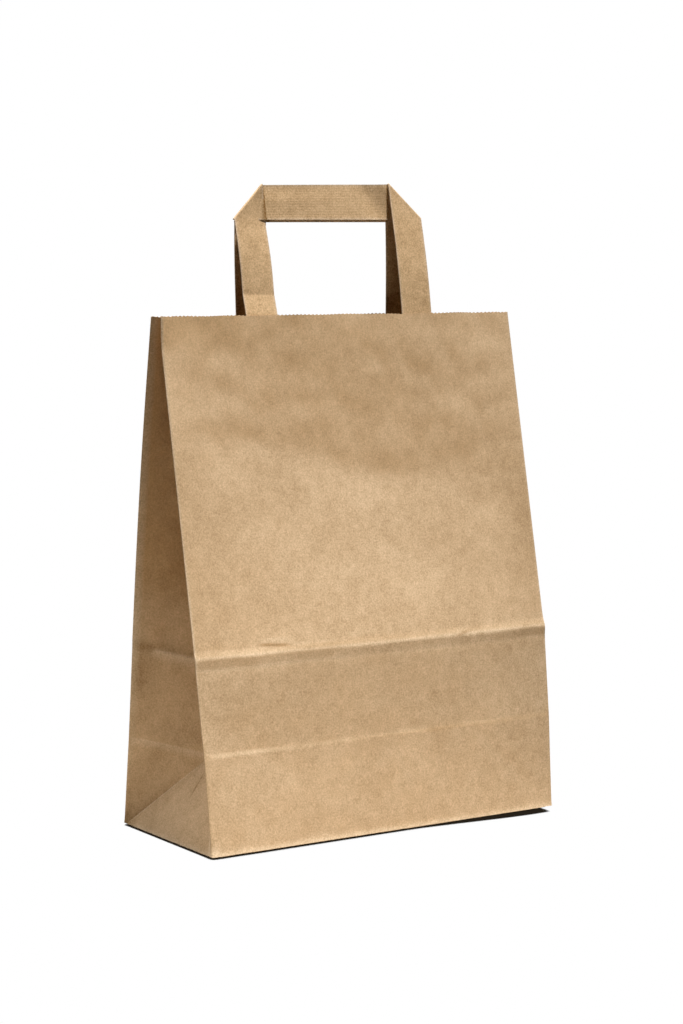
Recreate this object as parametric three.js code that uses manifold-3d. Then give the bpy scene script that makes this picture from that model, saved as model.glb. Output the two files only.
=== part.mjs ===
// Paper carrier bag: one folded block-bottom sheet and two folded tape handles, each under a glued patch.
// Millimetres. X runs along the front panel, Y from front to back, Z up, from the middle of the base.
import * as THREE from 'three';
import Module from 'manifold-3d';

// The sheet and the bag
const WIDTH = 220; // front panel, fold to fold
const DEPTH = 100; // gusset paper, front fold to rear fold
const HEIGHT = 275; // panel paper, base fold to rim
const PAPER = 0.5; // thickness of the sheet
const FOLD_RADIUS = 1; // middle of the sheet round a standing fold
const BASE_DRAW = 2.5; // how far the base folds lie inside the panels' folds

// The pinked rim
const TOOTH_PITCH = 2;
const TOOTH_HEIGHT = 0.8;

// The crease that the folded-up base leaves across the panels
const CREASE_HEIGHT = 94.7; // paper from the base fold to the lower crease line
const CREASE_BAND = 4.6; // between the two crease lines
const CREASE_SETTLE = 4.2; // above the upper line, where the panel settles to its slope

const SAG_DROP = 79; // paper from the rim down to the line where a panel sags most

// How the panels stand: inward leans in degrees, and outward places of the rims and of the panels' middles
const FRONT = {
  side: -1,
  lowLean: 5,
  midLean: 7.2,
  bandLean: 2.2,
  settleLean: 19,
  rim: 3,
  creaseBow: 3,
  sagBow: -5,
  rimBow: 0,
};
const REAR = {
  side: 1,
  lowLean: 10.5,
  midLean: 9.2,
  bandLean: 6,
  settleLean: 5,
  rim: 5.3,
  creaseBow: 2,
  sagBow: 4,
  rimBow: 7.5,
};

// Glued seam down the rear panel and the pasted flaps of the base
const SEAM_X = 22; // from the middle to the seam's near edge
const SEAM_WIDTH = 18;
const SEAM_PAPER = 0.3; // how far the overlap stands off the panel
const SEAM_MARGIN = 2; // bare panel above and below the overlap
const BASE_LAYERS = 0.9; // folded flap layers above the outermost one
const BASE_LAYER_INSET = 3; // from the base folds to the edge of those layers
const FLAP_LAP = 22; // how far the two long flaps overlap
const FLAP_GROOVE = 0.6; // width of the line at a flap's edge
const FLAP_GROOVE_DEPTH = 0.25;
const FLAP_CORNER = 7; // from a base corner to the start of a slanted flap edge

// Tape handles
const TAPE_WIDTH = 19;
const TAPE = 0.6; // thickness
const LAYER = 1; // middle of the leg to the middle of the strap at a folded corner
// Half width, height above the rim, and inward lean in degrees
const FRONT_HANDLE = { outer: 58.5, rise: 70.2, lean: 11 };
const REAR_HANDLE = { outer: 57, rise: 68 };
const GLUED_LENGTH = 42; // tape below the rim

// Patches over the glued legs
const PATCH_MARGIN = 6.5; // beyond the outer edges of the legs
const PATCH_BELOW = 6; // beyond the lower ends of the legs
const PATCH = 0.4; // thickness
const PATCH_DROP = 3; // from the rim to the patch's upper edge
const PATCH_RAMP = 3; // where the patch climbs onto a leg

const GAP = 0.3; // between glued faces

// How finely the bent surfaces are cut
const PANEL_STEPS = 14;
const CORNER_STEPS = 4;
const LEG_STEPS = 2; // across each half of a gusset
const TIP_STEPS = 6;
const RISE_STEPS = 3; // up a panel from the crease to the sag, and from there to the rim
const FOLD_STEPS = 6; // round a handle's folded corner
const TAPE_STEPS = 4;
const NUDGE = 0.1; // how far joined layers sink into each other

const HALF_WIDTH = WIDTH / 2;
const BASE_HALF_WIDTH = HALF_WIDTH - BASE_DRAW;
const BASE_HALF_DEPTH = DEPTH / 2 - BASE_DRAW;
const SAG_HEIGHT = HEIGHT - SAG_DROP;
const APEX = DEPTH / 2; // paper height where the gusset's diagonals meet its middle fold

const radians = THREE.MathUtils.degToRad;
const lerp = THREE.MathUtils.lerp;
const steps = (count) => Array.from({ length: count + 1 }, (_, i) => i / count);

const wasm = await Module();
wasm.setup();

// Surfaces and solids

/** Merges equal points of a triangle soup and drops the triangles that collapse. */
function weld(soup) {
  const points = [];
  const found = new Map();
  const indexOf = (p) => {
    const key = [p.x, p.y, p.z].map((c) => Math.round(c * 1e4)).join(' ');
    if (!found.has(key)) {
      found.set(key, points.length);
      points.push(p);
    }
    return found.get(key);
  };
  const corners = soup.map((triangle) => triangle.map(indexOf));
  const faces = corners.filter(([a, b, c]) => a !== b && b !== c && c !== a);
  return { points, faces };
}

/** Triangles between neighbouring rows of points; a closed row joins its last point to its first. */
function strips(rows, closed = false) {
  const soup = [];
  for (let r = 0; r + 1 < rows.length; r += 1) {
    const count = rows[r].length;
    const last = closed ? count : count - 1;
    for (let c = 0; c < last; c += 1) {
      const next = (c + 1) % count;
      soup.push([rows[r][c], rows[r][next], rows[r + 1][next]]);
      soup.push([rows[r][c], rows[r + 1][next], rows[r + 1][c]]);
    }
  }
  return soup;
}

/** Angle-weighted normal at every point, lengthened so that both faces at a fold stay the full way off. */
function offsetNormals({ points, faces }) {
  const sums = points.map(() => new THREE.Vector3());
  const touching = points.map(() => []);
  const side = new THREE.Vector3();
  const other = new THREE.Vector3();
  for (const face of faces) {
    const [a, b, c] = face.map((i) => points[i]);
    const normal = new THREE.Triangle(a, b, c).getNormal(new THREE.Vector3());
    face.forEach((index, k) => {
      side.subVectors(points[face[(k + 1) % 3]], points[index]);
      other.subVectors(points[face[(k + 2) % 3]], points[index]);
      sums[index].addScaledVector(normal, side.angleTo(other));
      touching[index].push(normal);
    });
  }
  const steepest = 0.6; // a mitre is never longer than 1 / 0.6 of the offset
  return sums.map((sum, i) => {
    sum.normalize();
    const least = Math.min(...touching[i].map((normal) => normal.dot(sum)));
    return sum.divideScalar(Math.max(least, steepest));
  });
}

/** The solid of even thickness about a surface: both faces, and a wall along every open edge. */
function thicken(soup, thickness) {
  const { points, faces } = weld(soup);
  const normals = offsetNormals({ points, faces });
  const count = points.length;
  const place = (shift) => points.flatMap((p, i) => p.clone().addScaledVector(normals[i], shift).toArray());
  const triangles = [];
  const edges = new Set(faces.flatMap(([a, b, c]) => [`${a} ${b}`, `${b} ${c}`, `${c} ${a}`]));
  for (const [a, b, c] of faces) {
    triangles.push(a, b, c);
    triangles.push(count + c, count + b, count + a);
    for (const [from, to] of [[a, b], [b, c], [c, a]]) {
      if (edges.has(`${to} ${from}`)) continue;
      triangles.push(to, from, count + from);
      triangles.push(to, count + from, count + to);
    }
  }
  return solid([...place(thickness / 2), ...place(-thickness / 2)], triangles);
}

/** A boolean-ready solid from plain coordinates and triangle corners. */
function solid(coordinates, triangles) {
  const mesh = new wasm.Mesh({
    numProp: 3,
    vertProperties: new Float32Array(coordinates),
    triVerts: new Uint32Array(triangles),
  });
  return new wasm.Manifold(mesh);
}

/** A boolean-ready box from corner to corner, turned about Z round its middle. */
function box(size, middle, turn = 0) {
  const geometry = new THREE.BoxGeometry(...size).toNonIndexed();
  geometry.rotateZ(turn);
  geometry.translate(...middle);
  const corners = geometry.getAttribute('position');
  const soup = [];
  for (let i = 0; i < corners.count; i += 3) {
    soup.push([i, i + 1, i + 2].map((k) => new THREE.Vector3().fromBufferAttribute(corners, k)));
  }
  const { points, faces } = weld(soup);
  return solid(points.flatMap((p) => p.toArray()), faces.flat());
}

/** A named mesh from a solid. */
function piece(name, made, material) {
  const { vertProperties, triVerts } = made.getMesh();
  const geometry = new THREE.BufferGeometry();
  geometry.setAttribute('position', new THREE.BufferAttribute(vertProperties, 3));
  geometry.setIndex(new THREE.BufferAttribute(triVerts, 1));
  geometry.computeVertexNormals();
  const mesh = new THREE.Mesh(geometry, material);
  mesh.name = name;
  return mesh;
}

// Panels

/** Half the distance between a panel's two standing folds at paper height s. */
const halfWidthAt = (s) => HALF_WIDTH - BASE_DRAW * Math.max(0, 1 - s / CREASE_HEIGHT);

/**
 * A panel as a surface over x and paper height s. Its side view is a chain of straight runs, each with its
 * own lean, and the last run's lean brings the rim to its place. `out` is the distance from the X axis.
 */
function makePanel({ side, lowLean, midLean, bandLean, settleLean, rim, creaseBow, sagBow, rimBow }) {
  const runs = [
    { length: APEX, lean: radians(lowLean) },
    { length: CREASE_HEIGHT - APEX, lean: radians(midLean) },
    { length: CREASE_BAND, lean: radians(bandLean) },
    { length: CREASE_SETTLE, lean: radians(settleLean) },
  ];
  const used = runs.reduce((sum, run) => sum + run.length, 0);
  const reached = runs.reduce((out, run) => out - run.length * Math.sin(run.lean), BASE_HALF_DEPTH);
  runs.push({ length: HEIGHT - used, lean: Math.asin((reached - rim) / (HEIGHT - used)) });

  const profile = (s) => {
    let out = BASE_HALF_DEPTH;
    let z = PAPER / 2;
    let left = s;
    for (const run of runs) {
      const part = Math.min(left, run.length);
      out -= part * Math.sin(run.lean);
      z += part * Math.cos(run.lean);
      left -= part;
    }
    return { out, z };
  };
  const bow = (s) => {
    if (s < CREASE_HEIGHT) return (creaseBow * s) / CREASE_HEIGHT;
    if (s < SAG_HEIGHT) return lerp(creaseBow, sagBow, (s - CREASE_HEIGHT) / (SAG_HEIGHT - CREASE_HEIGHT));
    return lerp(sagBow, rimBow, (s - SAG_HEIGHT) / (HEIGHT - SAG_HEIGHT));
  };
  const point = (x, s) => {
    const { out, z } = profile(s);
    const reach = x / (halfWidthAt(s) - FOLD_RADIUS);
    return new THREE.Vector3(x, side * (out + bow(s) * (1 - reach * reach)), z);
  };
  const inward = (x, s) => {
    const below = Math.min(s, HEIGHT - NUDGE);
    const along = point(x + NUDGE, below).sub(point(x - NUDGE, below));
    const up = point(x, below + NUDGE).sub(point(x, below));
    return along.cross(up).normalize().multiplyScalar(side);
  };
  return { side, profile, point, inward, upperLean: runs.at(-1).lean };
}

// Bag body

/**
 * The angle between a panel and its gusset leaf where the panels' folds stand 2 * halfGap apart. A leaf is
 * an arc round the standing fold, a straight run and an arc to the middle fold, and keeps its paper length.
 */
function leafAngle(halfGap) {
  const reach = (angle) => {
    return leafRun(angle) * Math.sin(angle) + FOLD_RADIUS * (1 + 2 * Math.cos(angle));
  };
  let low = 0;
  let high = Math.PI / 2;
  for (let i = 0; i < 50; i += 1) {
    const middle = (low + high) / 2;
    if (reach(middle) < halfGap) low = middle;
    else high = middle;
  }
  return (low + high) / 2;
}

/** Length of a leaf's straight run, once its two arcs have taken their share of the paper. */
function leafRun(angle) {
  const flatCorner = FOLD_RADIUS * (1 - Math.PI / 4);
  return DEPTH / 2 - flatCorner - FOLD_RADIUS * (Math.PI - 1.5 * angle);
}

/**
 * Half of the right gusset at paper height s, from the panel's edge to the middle fold, as points
 * { x, away, sink }: away is the distance inward from the panel, sink the share of the drop at the fold.
 */
function leafPoints(s, halfGap) {
  const angle = leafAngle(halfGap);
  const run = leafRun(angle);
  const half = halfWidthAt(s);
  const centre = { x: half - FOLD_RADIUS, away: FOLD_RADIUS };
  const points = steps(CORNER_STEPS).map((f) => {
    const turn = f * (Math.PI - angle);
    const x = centre.x + FOLD_RADIUS * Math.sin(turn);
    return { x, away: centre.away - FOLD_RADIUS * Math.cos(turn), sink: 0 };
  });
  const start = points.at(-1);
  for (const f of steps(LEG_STEPS).slice(1)) {
    const x = start.x - f * run * Math.cos(angle);
    points.push({ x, away: start.away + f * run * Math.sin(angle), sink: f });
  }
  const end = points.at(-1);
  const tip = { x: end.x + FOLD_RADIUS * Math.sin(angle), away: end.away + FOLD_RADIUS * Math.cos(angle) };
  for (const f of steps(TIP_STEPS / 2).slice(1)) {
    const turn = angle + f * (Math.PI / 2 - angle);
    const x = tip.x - FOLD_RADIUS * Math.sin(turn);
    points.push({ x, away: tip.away - FOLD_RADIUS * Math.cos(turn), sink: 1 });
  }
  return points;
}

/** The same leaf at the base, where the gusset lies flat: the middle fold's arc spreads along the edge. */
function baseLeafPoints() {
  const corner = steps(CORNER_STEPS).map((f) => {
    const turn = (f * Math.PI) / 2;
    const x = BASE_HALF_WIDTH - FOLD_RADIUS * (1 - Math.sin(turn));
    return { x, away: FOLD_RADIUS * (1 - Math.cos(turn)), sink: 0 };
  });
  const end = corner.at(-1);
  const run = steps(LEG_STEPS).slice(1).map(() => end);
  const edge = steps(TIP_STEPS / 2).slice(1).map((f) => {
    return { x: end.x, away: lerp(end.away, BASE_HALF_DEPTH, f), sink: 0 };
  });
  return [...corner, ...run, ...edge];
}

/** The bag's outline at paper height s: front panel, right gusset, rear panel, left gusset. */
function outline(s, front, rear) {
  const near = front.profile(s);
  const far = rear.profile(s);
  const halfGap = (near.out + far.out) / 2;
  const drop = s > 0 ? halfGap * Math.tan((front.upperLean + rear.upperLean) / 2) : 0;
  const foldZ = (near.z + far.z) / 2 - drop;
  const leaf = s > 0 ? leafPoints(s, halfGap) : baseLeafPoints();
  const onLeaf = (turn, panel, { x, away, sink }) => {
    const { out, z } = panel.profile(s);
    return new THREE.Vector3(turn * x, panel.side * (out - away), lerp(z, foldZ, sink));
  };
  const edge = halfWidthAt(s) - FOLD_RADIUS;
  const across = steps(PANEL_STEPS).map((f) => lerp(-edge, edge, f)).slice(1, -1);
  return [
    ...across.map((x) => front.point(x, s)),
    ...leaf.map((p) => onLeaf(1, front, p)),
    ...leaf.slice(0, -1).reverse().map((p) => onLeaf(1, rear, p)),
    ...across.reverse().map((x) => rear.point(x, s)),
    ...leaf.map((p) => onLeaf(-1, rear, p)),
    ...leaf.slice(0, -1).reverse().map((p) => onLeaf(-1, front, p)),
  ];
}

/** Paper heights at which an outline is taken: each crease, and evenly up to the sag and to the rim. */
function outlineHeights() {
  const settled = CREASE_HEIGHT + CREASE_BAND + CREASE_SETTLE;
  const creased = [0, APEX, (APEX + CREASE_HEIGHT) / 2, CREASE_HEIGHT, CREASE_HEIGHT + CREASE_BAND];
  const sagging = steps(RISE_STEPS).map((f) => lerp(settled, SAG_HEIGHT, f));
  const rising = steps(RISE_STEPS).slice(1).map((f) => lerp(SAG_HEIGHT, HEIGHT, f));
  return [...creased, ...sagging, ...rising];
}

/** Triangles from a closed row of points up to a pinked edge, between outlines of its notches and tips. */
function pinkedStrip(row, notches, tips) {
  return row.flatMap((from, i) => {
    const next = (i + 1) % row.length;
    const teeth = Math.round(notches[i].distanceTo(notches[next]) / TOOTH_PITCH);
    const edge = steps(Math.max(2 * teeth, 1)).map((f, k) => {
      const level = teeth > 0 && k % 2 === 1 ? tips : notches;
      return level[i].clone().lerp(level[next], f);
    });
    const fan = edge.slice(1).map((point, k) => [from, point, edge[k]]);
    return [[from, row[next], edge.at(-1)], ...fan];
  });
}

/** The sheet itself: outlines joined up the walls, the pinked rim, and the base closed from its middle. */
function foldedSheet(front, rear) {
  const rows = outlineHeights().map((s) => outline(s, front, rear));
  const tips = rows.pop();
  const notches = outline(HEIGHT - TOOTH_HEIGHT, front, rear);
  const walls = strips(rows, true);
  const rim = pinkedStrip(rows.at(-1), notches, tips);
  const edge = rows[0];
  const middle = new THREE.Vector3(0, 0, PAPER / 2);
  const base = edge.map((p, i) => [middle, edge[(i + 1) % edge.length], p]);
  return thicken([...walls, ...rim, ...base], PAPER);
}

/** The glued overlap that closes the sheet into a tube, down the rear panel. */
function rearSeam(rear) {
  const lift = (PAPER + SEAM_PAPER) / 2 - NUDGE / 2;
  const heights = outlineHeights().map((s) => THREE.MathUtils.clamp(s, SEAM_MARGIN, HEIGHT - SEAM_MARGIN));
  const rows = heights.map((s) => {
    return [0, 0.5, 1].map((f) => {
      const x = SEAM_X + f * SEAM_WIDTH;
      return rear.point(x, s).addScaledVector(rear.inward(x, s), -lift);
    });
  });
  return thicken(strips(rows), SEAM_PAPER + NUDGE);
}

/** The edges of the pasted base flaps, as shallow lines: the overlap's free edge and its slanted ends. */
function flapLines() {
  const freeEdge = -FLAP_LAP / 2;
  const corner = new THREE.Vector2(BASE_HALF_WIDTH, BASE_HALF_DEPTH);
  const line = (from, to) => {
    const along = to.clone().sub(from);
    const middle = from.clone().add(to).multiplyScalar(0.5);
    const size = [along.length(), FLAP_GROOVE, 2 * FLAP_GROOVE_DEPTH];
    return box(size, [middle.x, middle.y, 0], along.angle());
  };
  const slant = (turn, fromY) => {
    const step = Math.sign(freeEdge - fromY);
    const inset = FLAP_CORNER * Math.SQRT1_2;
    const from = new THREE.Vector2(turn * (corner.x - inset), fromY + step * inset);
    const to = new THREE.Vector2(turn * (corner.x - Math.abs(freeEdge - fromY)), freeEdge);
    return line(from, to);
  };
  const end = corner.x - (corner.y - freeEdge);
  return [
    line(new THREE.Vector2(-end, freeEdge), new THREE.Vector2(end, freeEdge)),
    ...[1, -1].flatMap((turn) => [slant(turn, corner.y), slant(turn, -corner.y)]),
  ];
}

/** The whole bag body: the folded sheet with its seam, its base layers and the lines of its flaps. */
function bagBody(front, rear) {
  const length = 2 * (BASE_HALF_WIDTH - BASE_LAYER_INSET);
  const depth = 2 * (BASE_HALF_DEPTH - BASE_LAYER_INSET);
  const layers = box([length, depth, BASE_LAYERS + NUDGE], [0, 0, PAPER + (BASE_LAYERS - NUDGE) / 2]);
  const joined = foldedSheet(front, rear).add(rearSeam(rear)).add(layers);
  return flapLines().reduce((body, line) => body.subtract(line), joined);
}

// Handles and patches

/** The middle of a glued leg below the rim, at x and at paper height s, `layer` further in. */
function gluedPoint(panel, x, s, layer) {
  const seat = (PAPER + TAPE) / 2 + GAP + layer;
  return panel.point(x, s).addScaledVector(panel.inward(x, s), seat);
}

/**
 * A handle's flat plane: q is the height above the rim along the tape and `layer` the depth inward. Legs
 * that leave a bowed rim flatten to one plane by the time they reach the strap.
 */
function handlePoint(panel, { outer, rise, lean }, x, q, layer) {
  if (q <= 0) return gluedPoint(panel, x, HEIGHT + q, layer);
  const legMiddle = outer - TAPE_WIDTH / 2;
  const root = gluedPoint(panel, x, HEIGHT, 0);
  const flat = gluedPoint(panel, legMiddle, HEIGHT, 0);
  const out = panel.side * lerp(root.y, flat.y, Math.min(1, q / (rise - TAPE_WIDTH)));
  const y = out - q * Math.sin(lean) - layer * Math.cos(lean);
  return new THREE.Vector3(x, panel.side * y, flat.z + q * Math.cos(lean) - layer * Math.sin(lean));
}

/**
 * One folded tape: up a leg, back on itself over a 45 degree fold, along the strap behind the legs, over
 * the second fold and down the other leg.
 */
function tapeHandle(panel, sizes) {
  const inner = sizes.outer - TAPE_WIDTH;
  const across = steps(TAPE_STEPS).map((f) => inner + f * TAPE_WIDTH);
  const diagonal = (x) => sizes.rise - (x - inner);
  const halfTape = (turn) => {
    const row = (at) => across.map((x) => handlePoint(panel, sizes, ...at(x)));
    const glued = [1, 0.5, 0].map((f) => row((x) => [turn * x, -f * GLUED_LENGTH, 0]));
    const leg = [0.25, 0.5, 0.75, 1].map((f) => row((x) => [turn * x, f * diagonal(x), 0]));
    const fold = steps(FOLD_STEPS).slice(1).map((f) => {
      const bulge = (LAYER / 2) * Math.sin(f * Math.PI) * Math.SQRT1_2;
      const depth = (LAYER / 2) * (1 - Math.cos(f * Math.PI));
      return row((x) => [turn * (x + bulge), diagonal(x) + bulge, depth]);
    });
    return [...glued, ...leg, ...fold];
  };
  return thicken(strips([...halfTape(1), ...halfTape(-1).reverse()]), TAPE);
}

/** The inward lean at which a rear handle's strap just meets the back of the front one's, at the top. */
function restingLean(front, rear) {
  const sizes = { ...FRONT_HANDLE, lean: radians(FRONT_HANDLE.lean) };
  const top = handlePoint(front, sizes, 0, sizes.rise, LAYER + TAPE / 2);
  const root = gluedPoint(rear, REAR_HANDLE.outer - TAPE_WIDTH / 2, HEIGHT, LAYER + TAPE / 2 + GAP);
  return Math.asin((root.y - top.y) / REAR_HANDLE.rise);
}

/** A patch glued to the panel and over both legs, climbing onto each leg by a short ramp. */
function handlePatch(panel, { outer }) {
  const inner = outer - TAPE_WIDTH;
  const ramp = (beyond) => 1 - THREE.MathUtils.clamp((beyond - GAP) / PATCH_RAMP, 0, 1);
  const cover = (x, s) => {
    const beside = Math.max(inner - Math.abs(x), Math.abs(x) - outer);
    const below = HEIGHT - GLUED_LENGTH - s;
    return ramp(beside) * ramp(below);
  };
  const half = outer + PATCH_MARGIN;
  const bends = [0, inner - GAP - PATCH_RAMP, inner - GAP, outer + GAP, outer + GAP + PATCH_RAMP, half];
  const columns = [...bends.slice(1).reverse().map((x) => -x), ...bends];
  const top = HEIGHT - PATCH_DROP;
  const legEnd = HEIGHT - GLUED_LENGTH - GAP;
  const foot = HEIGHT - GLUED_LENGTH - PATCH_BELOW;
  const heights = [foot, legEnd - PATCH_RAMP, legEnd, lerp(legEnd, top, 0.5), top];
  const rows = heights.map((s) => {
    return columns.map((x) => {
      const seat = (PAPER + PATCH) / 2 + GAP + cover(x, s) * (TAPE + GAP);
      return panel.point(x, s).addScaledVector(panel.inward(x, s), seat);
    });
  });
  return thicken(strips(rows), PATCH);
}

// The assembled bag

const kraft = new THREE.MeshStandardMaterial({ color: 0xc8a478, roughness: 0.85, metalness: 0 });
const tapeKraft = new THREE.MeshStandardMaterial({ color: 0xc4a074, roughness: 0.8, metalness: 0 });
const patchKraft = new THREE.MeshStandardMaterial({ color: 0xbd9a6e, roughness: 0.88, metalness: 0 });

const frontPanel = makePanel(FRONT);
const rearPanel = makePanel(REAR);
const frontSizes = { ...FRONT_HANDLE, lean: radians(FRONT_HANDLE.lean) };
const rearSizes = { ...REAR_HANDLE, lean: restingLean(frontPanel, rearPanel) };

const bag = new THREE.Group();
bag.add(piece('bag_body', bagBody(frontPanel, rearPanel), kraft));
bag.add(piece('front_handle', tapeHandle(frontPanel, frontSizes), tapeKraft));
bag.add(piece('rear_handle', tapeHandle(rearPanel, rearSizes), tapeKraft));
bag.add(piece('front_handle_patch', handlePatch(frontPanel, frontSizes), patchKraft));
bag.add(piece('rear_handle_patch', handlePatch(rearPanel, rearSizes), patchKraft));

export default bag;
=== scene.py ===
"""Looks of a standing kraft paper carrier bag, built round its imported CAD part.

Metres. X runs along the front panel, Y from front to back and Z up, from the middle of the base.
Every sheet is worked out as a surface: x runs across a panel, and s is the height along the paper
from the base fold to the rim.
"""

import bpy
import numpy as np
from mathutils import Matrix, Vector


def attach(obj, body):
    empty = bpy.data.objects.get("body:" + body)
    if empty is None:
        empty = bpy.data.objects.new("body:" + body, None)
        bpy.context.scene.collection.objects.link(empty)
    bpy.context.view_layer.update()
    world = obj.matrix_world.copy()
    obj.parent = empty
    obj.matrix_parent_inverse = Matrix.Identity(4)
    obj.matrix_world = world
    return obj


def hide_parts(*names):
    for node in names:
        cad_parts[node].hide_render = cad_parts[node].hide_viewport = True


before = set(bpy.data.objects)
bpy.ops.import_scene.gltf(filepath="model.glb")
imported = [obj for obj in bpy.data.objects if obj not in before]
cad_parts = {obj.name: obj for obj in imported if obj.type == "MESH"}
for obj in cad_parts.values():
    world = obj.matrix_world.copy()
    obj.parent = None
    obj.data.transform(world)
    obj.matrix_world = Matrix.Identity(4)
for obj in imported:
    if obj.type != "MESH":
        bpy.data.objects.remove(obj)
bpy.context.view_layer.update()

# The folded sheet: close to the CAD part's sizes, in thinner paper with sharper folds
WIDTH = 0.2204  # front panel, fold to fold
DEPTH = 0.100  # gusset paper, front fold to rear fold
HEIGHT = 0.275  # panel paper, base fold to rim
PAPER = 0.0002  # thickness of the sheet
FOLD_RADIUS = 0.0004  # round a standing fold
SIDE_DRAW = 0.0026  # how far the base folds lie inside the panels' folds, at the sides
BASE_DRAW = 0.0021  # and at front and rear
BASE_LEVEL = 0.00045  # underside of the sheet over the base flaps

# The creases across the panels
CREASE = 0.0942  # paper from the base fold to the lower line of the big crease
CREASE_BAND = 0.0051  # between its two lines
CREASE_SETTLE = 0.0042  # above the upper line, where the panel settles to its slope
CREASE_SOFT = 0.0013  # over which a lean changes
LOW_CREASE = 0.0508  # the faint crease level with the tops of the gussets' diagonals
LOW_CREASE_STEP = 0.00026
FOOT = 0.0045  # height of the flared foot over the pasted base
FOOT_LEAN = 9  # degrees that the foot leans more than the panel above it

# How the panels stand: leans in degrees up to the low crease, from there up to the big crease, in its band
# and where the panel settles above it
FRONT_LEANS = (5.0, 7.2, 2.2, 19.0)
FRONT_RIM = 0.0030  # distance of the rim's folds from the X axis
FRONT_BOWS = (0.003, 0.0)  # how far the middle bows out at the crease and at the rim
REAR_LEANS = (10.5, 9.2, 6.0, 5.0)
REAR_RIM = 0.0053
REAR_BOWS = (0.002, 0.0075)
REAR_SINK = 0.0008  # how far the rear rim sits below its paper height
SINK_START = 0.2  # paper height from which it sinks
STEEPEST = 30.0  # degrees, the bound on the lean of the last run

# The pinked rim
TOOTH_HEIGHT = 0.00055
RIM_WAVE = 0.00012

# Tape handles
TAPE_WIDTH = 0.019
TAPE = 0.0006
LAYER = 0.001  # middle of the leg to the middle of the strap at a folded corner
SEAT = 0.0008  # from the panel's face to the middle of a glued leg
GLUED_LENGTH = 0.042
RIB_PITCH = 0.0014
RIB_HEIGHT = 0.5  # as a share of the height of the paper's fibres

# Each handle: from the middle to a leg's outer edge, from the rim to the strap's top, the share by which
# the right leg is longer, how far an edge of the strap is set back near its right end, and how far the
# strap hangs to the right. The front one also has its lean in degrees, and the rear one rests against it.
FRONT_HANDLE = {"outer": 0.0585, "rise": 0.0702, "skew": 0.012, "twist": 0.0024, "drift": 0.0, "lean": 11.0}
REAR_HANDLE = {"outer": 0.0570, "rise": 0.068, "skew": 0.012, "twist": 0.0, "drift": 0.002}

# Patches over the glued legs
PATCH = 0.00025
PATCH_MARGIN = 0.0065
PATCH_BELOW = 0.006
PATCH_DROP = 0.003
PATCH_RAMP = 0.003
PATCH_SEAT = 0.0005  # from the panel's face to the patch beside the legs
PATCH_OVER = 0.001  # how much further in it lies over a leg

# The glued seam and the base flaps
SEAM_X = 0.022
SEAM_WIDTH = 0.018
SEAM_STAND = 0.00022  # how far the overlap stands off the panel
SEAM_MARGIN = 0.0015
FLAP_LAP = 0.022
FLAP_CORNER = 0.005
FLAP = 0.0002

# The lights: direction to each from the bag, strength, and the degrees that it spreads over
LIGHTS = {
    "key": ((0.10, -0.15, 1.0), 6.7, 4),
    "fill": ((-0.42, 0.38, 1.0), 1.5, 40),
    "back": ((0.75, 0.75, 0.6), 0.6, 40),
}
FLOOR_LIGHT = 1.25  # what the floor throws back on the walls
SKY = 0.008

# Painted shade colour: paper painted deeper and warmer in its own shade, and the zones of the panels
SHADE_WARMTH = 2.5  # how much deeper and warmer the paper's colour is painted where its tilt keeps light off: painted shade
WARMTH_LIFT = 0.436  # painted light that evens out the darkness of the painted warmer colour
RIM_ZONE = 0.185  # paper height at which a panel's middle ends and the zone near its rim starts

# How finely the surfaces are cut
PANEL_COLUMNS = 185
CORNER_COLUMNS = 4
LEAF_COLUMNS = 15
TIP_COLUMNS = 8
BASE_SHARES = (0.42, 0.65, 0.84, 0.96)  # rings of the base, as shares of its outline
PROFILE_STEPS = 5501
SHARP = 32  # degrees between faces from which an edge is sharp
TAPE_COLUMNS = 21
GLUED_ROWS = 15
LEVEL_ROWS = 40  # level rows at the foot of a leg, up to LEVEL_REACH
LEVEL_REACH = 0.022
BARELY = 1e-7  # lifts the first level row off the glued ones
LEG_ROWS = 34
FOLD_ROWS = 11
STRAP_ROWS = 64
HIDDEN_ROWS = 4  # at each end of the strap, behind a leg
PATCH_ROWS, PATCH_COLUMNS = 40, 121
SEAM_ROWS, SEAM_COLUMNS = 150, 13
FLAP_ROWS, FLAP_COLUMNS = 30, 60
FLOOR_ROWS, FLOOR_COLUMNS = 91, 72

HALF_WIDTH = WIDTH / 2
BASE_HALF_WIDTH = HALF_WIDTH - SIDE_DRAW
BASE_HALF_DEPTH = DEPTH / 2 - BASE_DRAW
APEX = DEPTH / 2
RIDGE = CREASE + CREASE_BAND
MM = 0.001


# Small tools


def smooth(t):
    """0 below 0, 1 above 1, and 3t^2 - 2t^3 between."""
    t = np.clip(t, 0.0, 1.0)
    return t * t * (3 - 2 * t)


def lerp(a, b, t):
    """The point t of the way from a to b."""
    return a + (b - a) * t


def hump(t):
    """A bell of height 1 and width 1: exp(-t^2)."""
    return np.exp(-t * t)


def waves(x, s, seed, slope, shortest, longest, count=36):
    """Gentle cockling: plane waves of random heading, length and phase, each as high as it is long, added
    up and scaled so that the typical slope of the sum is `slope`."""
    rng = np.random.default_rng(seed)
    lengths = rng.uniform(shortest, longest, count)
    headings = rng.uniform(0, 2 * np.pi, count)
    phases = rng.uniform(0, 2 * np.pi, count)
    total = np.zeros(np.broadcast(x, s).shape)
    for length, heading, phase in zip(lengths, headings, phases):
        travel = x * np.cos(heading) + s * np.sin(heading)
        total += length * np.sin(travel * 2 * np.pi / length + phase)
    return total * slope / (2 * np.pi) * np.sqrt(2 / count)


def facets(x, s, seed, slope, shortest, longest):
    """Crumpling: the size of a cockling, which folds over into soft creases where the cockling is 0."""
    return np.sqrt(waves(x, s, seed, slope, shortest, longest) ** 2 + (0.03 * MM) ** 2)


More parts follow.
